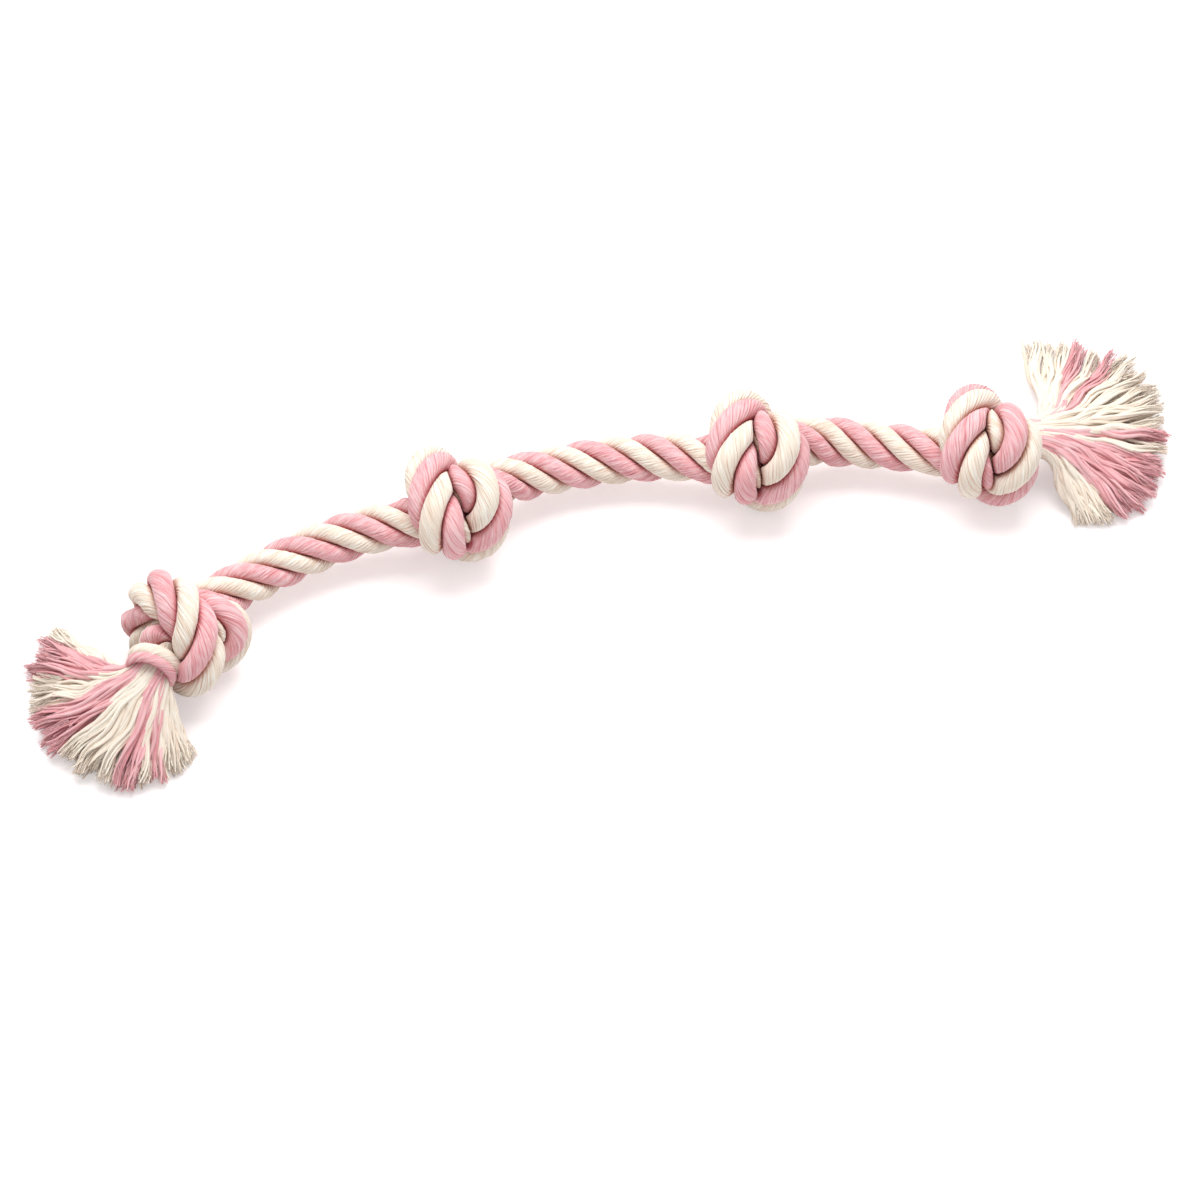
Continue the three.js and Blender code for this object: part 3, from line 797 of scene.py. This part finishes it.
class ROPETOY_OT_rope(bpy.types.Operator):
    """Lays the four strands of the rope through its knots"""

    bl_idname = "ropetoy.rope"
    bl_label = "Rope and knots"

    def execute(self, context):
        cuts = ROPE.cuts()
        knots = [(start + end) / 2 for start, end in ROPE.arcs]
        runs = [(cuts[i] + cuts[i + 1]) / 2 for i in (1, 3, 5)]
        last = ROPE.length - RIGHT_NECK_END
        marks = [LEFT_NECK_END, runs[0], knots[1], runs[1], knots[2], runs[2], last]
        names = ["knot_1", "knot_2_left", "knot_2_right", "knot_3_left", "knot_3_right", "knot_4"]
        bodies = ["knot_1", "run_1", "knot_2", "run_2", "knot_3", "run_3", "knot_4"]
        for i, name in enumerate(names):
            pair = bodies[i : i + 2]
            add_stretch(name, marks[i], marks[i + 1], pair, cuts[i + 1], BEND_REACHES[i])
        return {"FINISHED"}


def add_strands(name, start, end, groups, bend):
    """A length of rope as a pink and a cream piece, in place of the frame's strands in its bodies."""
    made = []
    for tone, strands in TONES.items():
        piece = make_strands(f"{name}_{tone}_strands", strands, start, end, cotton("laid", tone))
        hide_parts(*(node for group in groups for node in strand_nodes(group, tone)))
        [point_at(arc) for arc in bend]
        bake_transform(piece)
        made.append(piece)
    return made


def add_stretch(name, start, end, bodies, hinge, reach):
    """A stretch of rope across the hinge between two bodies."""
    made = add_strands(name, start, end, bodies, (hinge - reach, hinge + reach))
    route = ROPE.at(np.linspace(start, end, ROUTE_POINTS))["centre"]


# Tassels


def share_at(shares, place):
    return float(np.interp(place * (len(shares) - 1), np.arange(len(shares)), shares))


def fan_lock(side, place, layer, chance):
    """The middle line of one lock from the neck to the floor, wavy as let-out yarn is, and the
    direction across it at each point."""
    fan = FANS[side]
    arc = 0.0 if side == "left" else ROPE.length
    tip = ROPE.station(arc)
    out = tip["along"] * (-1 if side == "left" else 1)
    left = unit(np.cross([0, 0, 1], out))
    top = np.cross(out, left)
    across = 2 * place - 1
    reach = TASSEL_REACH * share_at(fan["reaches"], place) * chance.uniform(*LOCK_REACHES)
    u = BUNDLE_SHARE * math.sin(across * math.pi / 2)
    chord = math.sqrt(max(0.0, BUNDLE_SHARE**2 - u * u))
    v = chord * layer
    neck = NECK_SHARE * ROPE_RADIUS
    height = v * neck * fan["root_height"]
    start = tip["centre"] + left * (u * neck) + top * height - out * ROOT_DEPTH
    heading = math.radians(fan["heading"] + fan["angle"] * across)
    end = tip["centre"] + reach * np.array([math.cos(heading), math.sin(heading), 0])
    end[2] = np.interp((v + chord) / (2 * BUNDLE_SHARE), (0, 1), TIP_HEIGHTS)
    lead = start + out * (ROOT_DEPTH + LOCK_LEAD_SHARE * reach)
    turned_in = tip["centre"] + LOCK_TURN_SHARE * (end - tip["centre"])
    turned_in[2] = end[2] + LOCK_DROOP_SHARE * (start[2] - end[2])
    t = np.linspace(0, 1, LOCK_POINTS)[:, None]
    line = start * (1 - t) ** 3 + lead * 3 * t * (1 - t) ** 2
    line = line + turned_in * 3 * t**2 * (1 - t) + end * t**3
    along = unit(np.gradient(line, axis=0))
    up = unit(np.array([0, 0, 1]) - along * along[:, 2:])
    aside = np.cross(along, up)
    walked = path_lengths(line)[:, None]
    ease = smoothstep(walked, *WAVE_START)
    for size, direction in ((WAVE_SIDEWAYS, aside), (WAVE_UPWARD, up)):
        phase = chance.uniform(0, math.tau)
        waves = np.sin(math.tau * walked / chance.uniform(*WAVE_LENGTHS) + phase)
        line = line + direction * waves * ease * size * chance.uniform(*WAVE_SIZES)
    return line, aside


def lock_guides(side, tone, name):
    """Guide lines for a tassel's locks of one tone, as edges with the locks' size on them."""
    settings = bpy.context.scene.toy_tassels
    tones = FANS[side]["tones"]
    chance = np.random.default_rng(FANS[side]["seed"])
    lines, sides, halves = [], [], []
    grown = smoothstep(np.linspace(0, 1, LOCK_POINTS), *LOCK_GROWTH)
    for layer in LOCK_LAYERS:
        for i, letter in enumerate(tones):
            stagger = OUTER_STAGGER if layer else MIDDLE_STAGGER
            stagger += chance.uniform(-STAGGER_CHANGE, STAGGER_CHANGE)
            place = (i + stagger) / len(tones)
            line, aside = fan_lock(side, min(place, 1.0), layer, chance)
            full = settings.lock_size * chance.uniform(*LOCK_SIZES)
            if letter == tone[0]:
                lines.append(line)
                sides.append(aside)
                halves.append(settings.root_size + grown * (full - settings.root_size))
    starts = np.arange(len(lines))[:, None] * LOCK_POINTS + np.arange(LOCK_POINTS - 1)[None, :]
    edges = np.stack([starts, starts + 1], axis=-1).reshape(-1, 2)
    mesh = bpy.data.meshes.new(name)
    mesh.from_pydata(np.vstack(lines).tolist(), edges.tolist(), [])
    store(mesh, "side", np.vstack(sides))
    store(mesh, "half", np.concatenate(halves))
    return add_object(name, mesh)


def yarn_tree():
    """A node tree that fills each guide line with yarns, twisted together and frayed at the tip."""
    tree = bpy.data.node_groups.new("let_out_yarn", "GeometryNodeTree")
    kinds = {"Geometry": "Geometry", "Yarns": "Int", "Sides": "Int", "Material": "Material"}
    kinds |= dict.fromkeys(("Yarn radius", "Start", "Twist", "Fray", "Unevenness"), "Float")
    for name, kind in kinds.items():
        tree.interface.new_socket(name, in_out="INPUT", socket_type=f"NodeSocket{kind}")
    tree.interface.new_socket("Geometry", in_out="OUTPUT", socket_type="NodeSocketGeometry")
    add = partial(add_node, tree)
    given = add("NodeGroupInput").outputs
    lines = add("GeometryNodeMeshToCurve", {"Mesh": given["Geometry"]})
    copies = {"Geometry": lines, "Amount": given["Yarns"]}
    made = add("GeometryNodeDuplicateElements", copies, domain="SPLINE")
    # Each yarn's angle about the lock and distance from its middle, its tone and what it lacks
    read = {}
    for seed, name in enumerate(("angle", "apart", "tone", "lacks"), 1):
        most = math.tau if name == "angle" else 1.0
        chance = add("FunctionNodeRandomValue", {3: most, "Seed": seed})
        stored = {"Geometry": made, "Name": name, "Value": chance}
        made = add("GeometryNodeStoreNamedAttribute", stored, domain="CURVE")
        read[name] = add("GeometryNodeInputNamedAttribute", {"Name": name})
    half = add("GeometryNodeInputNamedAttribute", {"Name": "half"})
    side = add("GeometryNodeInputNamedAttribute", {"Name": "side"}, data_type="FLOAT_VECTOR")
    lacks = add("ShaderNodeMath", {0: read["lacks"], 1: read["lacks"]}, operation="MULTIPLY")
    cut = add("ShaderNodeMath", {0: lacks, 1: given["Fray"]}, operation="MULTIPLY")
    end = add("ShaderNodeMath", {0: 1.0, 1: cut}, operation="SUBTRACT")
    ends = {"Curve": made, "Start": given["Start"], "End": end}
    trimmed = add("GeometryNodeTrimCurve", ends, mode="FACTOR")
    even = add("GeometryNodeResampleCurve", {"Curve": trimmed, "Count": LOCK_POINTS - 2})
    spline = add("GeometryNodeSplineParameter").outputs
    place = spline["Factor"]
    # Yarns lie closest in the middle of a lock and stand apart at its tip
    late = add("ShaderNodeMath", {0: place, 1: 5.0}, operation="POWER")
    spread = add("ShaderNodeMath", {0: late, 1: given["Fray"], 2: 1.0}, operation="MULTIPLY_ADD")
    out = add("ShaderNodeMath", {0: read["apart"]}, operation="SQRT")
    opened = add("ShaderNodeMath", {0: out, 1: spread}, operation="MULTIPLY")
    away = add("ShaderNodeMath", {0: opened, 1: half}, operation="MULTIPLY")
    twisted = {0: place, 1: given["Twist"], 2: read["angle"]}
    turn = add("ShaderNodeMath", twisted, operation="MULTIPLY_ADD")
    aside = add("ShaderNodeVectorMath", {0: side, "Scale": away}, operation="SCALE")
    along = add("GeometryNodeInputTangent")
    turned_by = {"Vector": aside, "Axis": along, "Angle": turn}
    offset = add("ShaderNodeVectorRotate", turned_by, rotation_type="AXIS_ANGLE")
    # The underside of a lock lies in its own shade and its neighbours', which is painted as a darker
    # tone
    height = add("ShaderNodeSeparateXYZ", {0: offset}).outputs["Z"]
    side_height = add("ShaderNodeMath", {0: height, 1: half}, operation="DIVIDE")
    sunk = add("ShaderNodeMapRange", {"Value": side_height, 1: 0.35, 2: -0.7, 3: 0, 4: 1})
    for name, value in (("along", spline["Length"]), ("sunk", sunk)):
        stored = {"Geometry": even, "Name": name, "Value": value}
        even = add("GeometryNodeStoreNamedAttribute", stored)
    laid = add("GeometryNodeSetPosition", {"Geometry": even, "Offset": offset})
    # Each yarn strays in its own way, over about 11 mm, the more the nearer to its tip
    apart = add("ShaderNodeMath", {0: read["tone"], 1: 40.0}, operation="MULTIPLY")
    grain = {"W": apart, "Scale": 1 / (11 * MM), "Detail": 1.0}
    noise = add("ShaderNodeTexNoise", grain, noise_dimensions="4D").outputs["Color"]
    centred = add("ShaderNodeVectorMath", {0: noise, 1: (0.5, 0.5, 0.5)}, operation="SUBTRACT")
    amount = add("ShaderNodeMath", {0: place, 1: given["Unevenness"]}, operation="MULTIPLY")
    stray = add("ShaderNodeVectorMath", {0: centred, "Scale": amount}, operation="SCALE")
    strayed = add("GeometryNodeSetPosition", {"Geometry": laid, "Offset": stray})
    # Nothing lies lower than the floor
    floor = add("ShaderNodeCombineXYZ", {0: -1.0, 1: -1.0, 2: given["Yarn radius"]})
    position = add("GeometryNodeInputPosition")
    lifted = add("ShaderNodeVectorMath", {0: position, 1: floor}, operation="MAXIMUM")
    rested = add("GeometryNodeSetPosition", {"Geometry": strayed, "Position": lifted})
    # Yarns differ in thickness, and taper over the last quarter of their length
    taper = add("ShaderNodeMapRange", {"Value": place, 1: 0.75, 2: 1.0, 3: 1.0, 4: 0.35})
    size = add("ShaderNodeMath", {0: read["tone"], 1: 0.5, 2: 0.75}, operation="MULTIPLY_ADD")
    thickness = add("ShaderNodeMath", {0: size, 1: taper}, operation="MULTIPLY")
    circle = {"Resolution": given["Sides"], "Radius": given["Yarn radius"]}
    profile = add("GeometryNodeCurvePrimitiveCircle", circle)
    stored = {"Geometry": profile, "Name": "section", "Value": position}
    marked = add("GeometryNodeStoreNamedAttribute", stored, data_type="FLOAT_VECTOR")
    swept = {"Curve": rested, "Profile Curve": marked, "Scale": thickness, "Fill Caps": True}
    smooth = add("GeometryNodeSetShadeSmooth", {"Geometry": add("GeometryNodeCurveToMesh", swept)})
    real = add("GeometryNodeRealizeInstances", {"Geometry": smooth})
    coloured = {"Geometry": real, "Material": given["Material"]}
    add("NodeGroupOutput", {"Geometry": add("GeometryNodeSetMaterial", coloured)})
    return tree


def filled(guides, tree, inputs):
    """The mesh that a node tree makes of a guide object, as an object without modifiers."""
    modifier = guides.modifiers.new(tree.name, "NODES")
    modifier.node_group = tree
    items = tree.interface.items_tree
    sockets = {item.name: item.identifier for item in items if item.in_out == "INPUT"}
    for name, value in inputs.items():
        modifier[sockets[name]] = value
    seen = guides.evaluated_get(bpy.context.evaluated_depsgraph_get())
    mesh = bpy.data.meshes.new_from_object(seen)
    guides.modifiers.remove(modifier)
    name = guides.name
    bpy.data.objects.remove(guides)
    return add_object(name, mesh)


class ROPETOY_OT_tassels(bpy.types.Operator):
    """Lets both ends of the rope out into tassels of wavy yarn"""

    bl_idname = "ropetoy.tassels"
    bl_label = "Tassels"

    def execute(self, context):
        settings = context.scene.toy_tassels
        add_strands("left_neck", 0.0, LEFT_NECK_END, ["left_tassel"], LEFT_BEND)
        start, bend = ROPE.length - RIGHT_NECK_END, [ROPE.length - back for back in RIGHT_BEND]
        add_strands("right_neck", start, ROPE.length, ["right_tassel"], bend)
        tree = yarn_tree()
        fray, stray = settings.fray, settings.unevenness
        yarns_and_wisps = {
            "Yarns": (settings.yarns, settings.wisps),
            "Yarn radius": (settings.yarn_radius, settings.wisp_radius),
            "Sides": (YARN_SIDES, WISP_SIDES),
            "Start": (0.0, settings.wisp_start),
            "Twist": (settings.twist, 0.0),
            "Fray": (fray, WISP_FRAY_SHARE * fray),
            "Unevenness": (stray, WISP_SPREAD * stray),
        }
        for side in FANS:
            for tone in TONES:
                for k, word in enumerate(("yarns", "wisps")):
                    guides = lock_guides(side, tone, f"{side}_tassel_{tone}_{word}")
                    inputs = {name: pair[k] for name, pair in yarns_and_wisps.items()}
                    inputs["Material"] = cotton("let_out", tone)
                    piece = filled(guides, tree, inputs)
                    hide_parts(*strand_nodes(f"{side}_tassel", tone))
                    if side == "left":
                        bend_left_tassel(piece)
                    else:
                        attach(piece, "right_tassel")
        return {"FINISHED"}


def bend_left_tassel(piece):
    """Bakes the place of a piece of the left tassel into its mesh, as the neck's pieces are."""
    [point_at(arc) for arc in LEFT_BEND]
    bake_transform(piece)


class ROPETOY_OT_collar(bpy.types.Operator):
    """Winds two bands of yarn round the left tassel's neck"""

    bl_idname = "ropetoy.collar"
    bl_label = "Collar"

    def execute(self, context):
        settings = context.scene.toy_rope
        for band in COLLAR_BANDS:
            name = f"left_tassel_collar_{band['tone']}"
            piece = make_band(name, settings, band, cotton("laid", band["tone"]))
            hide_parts("left_tassel_collar")
            bend_left_tassel(piece)
        return {"FINISHED"}


def make_band(name, settings, band, material):
    """A closed band of yarn round the neck, with its yarns running aslant round it."""
    station = ROPE.station(band["arc"])
    columns = BAND_YARNS * YARN_COLUMNS
    width, height = band["width"], band["height"]
    radius = NECK_SHARE * ROPE_RADIUS + height + band["off"]
    wobble = yarn_wobble(settings, band["seed"])
    wobble = {key: value[:BAND_YARNS] for key, value in wobble.items()}
    up = unit(np.array([0, 0, 1]) - station["along"] * station["along"][2])
    side = np.cross(station["along"], up)
    points, creases = [], []
    for r in range(BAND_RINGS):
        around = math.tau * r / BAND_RINGS
        direction = up * math.cos(around) + side * math.sin(around)
        middle = station["centre"] + direction * radius
        middle = middle - station["along"] * (band["lean"] * radius * math.cos(around))
        angle = math.tau * np.arange(columns) / columns - BAND_TURNS * around
        bump = yarn_heights_of(BAND_YARNS, settings.yarn_depth, around * radius, wobble)
        out = direction[None, :] * (height + bump)[:, None] * np.sin(angle)[:, None]
        along = station["along"][None, :] * (width + bump)[:, None] * np.cos(angle)[:, None]
        points.append(middle + out + along)
        # Painted shade on the band's inner side, against the neck
        creases.append(smoothstep(-np.sin(angle), *BAND_PAINTED_SHADE))
    r, k = (corners[:, ::-1] for corners in quad_corners(BAND_RINGS, columns))
    quads = r % BAND_RINGS * columns + k % columns
    ring_step = math.tau * radius / MM / BAND_RINGS
    places = np.stack([k / YARN_COLUMNS, r * ring_step], axis=-1).reshape(-1, 2)
    return add_object(name, yarn_mesh(name, points, quads.tolist(), places, creases, material))


class ROPETOY_OT_stage(bpy.types.Operator):
    """Sets the pale floor, the soft light and the camera"""

    bl_idname = "ropetoy.stage"
    bl_label = "Floor, light and camera"

    def execute(self, context):
        stage = context.scene.toy_stage
        add_floor(stage.floor)
        add_soft_box(stage.lamp_strength)
        add_sky(stage.sky_strength)
        add_camera()
        context.scene.view_settings.view_transform = "Standard"
        return {"FINISHED"}


def add_floor(colour):
    mesh = bpy.data.meshes.new("floor")
    corners = [(x * FLOOR_HALF, y * FLOOR_HALF, 0) for x, y in ((-1, -1), (1, -1), (1, 1), (-1, 1))]
    mesh.from_pydata(corners, [], [(0, 1, 2, 3)])
    material, add = blank_material("matt_studio_paper")
    paper = add("ShaderNodeBsdfDiffuse", {"Color": srgb(colour)})
    glow = add("ShaderNodeEmission", {"Color": WHITE, "Strength": FLOOR_GLOW})
    from_camera = add("ShaderNodeLightPath").outputs["Is Camera Ray"]
    seen = add("ShaderNodeMixShader", {0: from_camera, 2: glow})
    add("ShaderNodeOutputMaterial", {"Surface": add("ShaderNodeAddShader", {0: paper, 1: seen})})
    mesh.materials.append(material)
    add_object("floor", mesh)


def add_soft_box(strength):
    light = bpy.data.lights.new("soft_box", "AREA")
    light.shape = "RECTANGLE"
    light.size, light.size_y = SOFT_BOX_SIZE
    light.energy = strength * SOFT_BOX_WATTS
    lamp = add_object("soft_box", light)
    lamp.location = SOFT_BOX_PLACE
    lamp.rotation_euler = (-lamp.location).to_track_quat("-Z", "Y").to_euler()


def add_sky(strength):
    """Light from all round, and a white backdrop in the camera's eyes."""
    world = bpy.data.worlds.new("studio_sky")
    bpy.context.scene.world = world
    world.use_nodes = True
    world.node_tree.nodes.clear()
    add = partial(add_node, world.node_tree)
    from_camera = add("ShaderNodeLightPath").outputs["Is Camera Ray"]
    light = add("ShaderNodeBackground", {"Color": WHITE, "Strength": strength})
    backdrop = add("ShaderNodeBackground", {"Color": WHITE, "Strength": 1.0})
    both = add("ShaderNodeMixShader", {0: from_camera, 1: light, 2: backdrop})
    add("ShaderNodeOutputWorld", {"Surface": both})


def add_camera():
    data = bpy.data.cameras.new("camera")
    data.lens = LENS
    data.sensor_width = SENSOR
    camera = add_object("camera", data)
    azimuth, elevation = math.radians(VIEW_AZIMUTH), math.radians(VIEW_ELEVATION)
    level = math.cos(elevation)
    back = Vector((math.cos(azimuth) * level, math.sin(azimuth) * level, math.sin(elevation)))
    distance = VIEW_WIDTH * LENS / SENSOR
    camera.location = VIEW_MIDDLE + back * distance
    camera.rotation_euler = back.to_track_quat("Z", "Y").to_euler()
    data.clip_end = 10 * distance
    bpy.context.scene.camera = camera


class ROPETOY_PT_panel(bpy.types.Panel):
    bl_idname = "ROPETOY_PT_panel"
    bl_label = "Rope toy"
    bl_space_type = "VIEW_3D"
    bl_region_type = "UI"
    bl_category = "Rope toy"

    def draw(self, context):
        for operator in OPERATORS:
            self.layout.operator(operator.bl_idname)
        for name in SETTINGS:
            settings = getattr(context.scene, name)
            box = self.layout.box()
            for prop in settings.bl_rna.properties:
                if prop.identifier not in ("name", "rna_type"):
                    box.prop(settings, prop.identifier)


OPERATORS = [ROPETOY_OT_stage, ROPETOY_OT_rope, ROPETOY_OT_tassels, ROPETOY_OT_collar]
SETTINGS = {
    "toy_rope": RopeSettings,
    "toy_tassels": TasselSettings,
    "toy_finish": FinishSettings,
    "toy_stage": StageSettings,
}


def register():
    for kind in [*SETTINGS.values(), *OPERATORS, ROPETOY_PT_panel]:
        bpy.utils.register_class(kind)
    for name, kind in SETTINGS.items():
        setattr(bpy.types.Scene, name, bpy.props.PointerProperty(type=kind))


def unregister():
    for name in SETTINGS:
        delattr(bpy.types.Scene, name)
    for kind in [ROPETOY_PT_panel, *OPERATORS, *SETTINGS.values()]:
        bpy.utils.unregister_class(kind)


def main():
    register()
    bpy.ops.ropetoy.stage()
    bpy.ops.ropetoy.rope()
    bpy.ops.ropetoy.tassels()
    bpy.ops.ropetoy.collar()


if __name__ == "__main__":
    main()
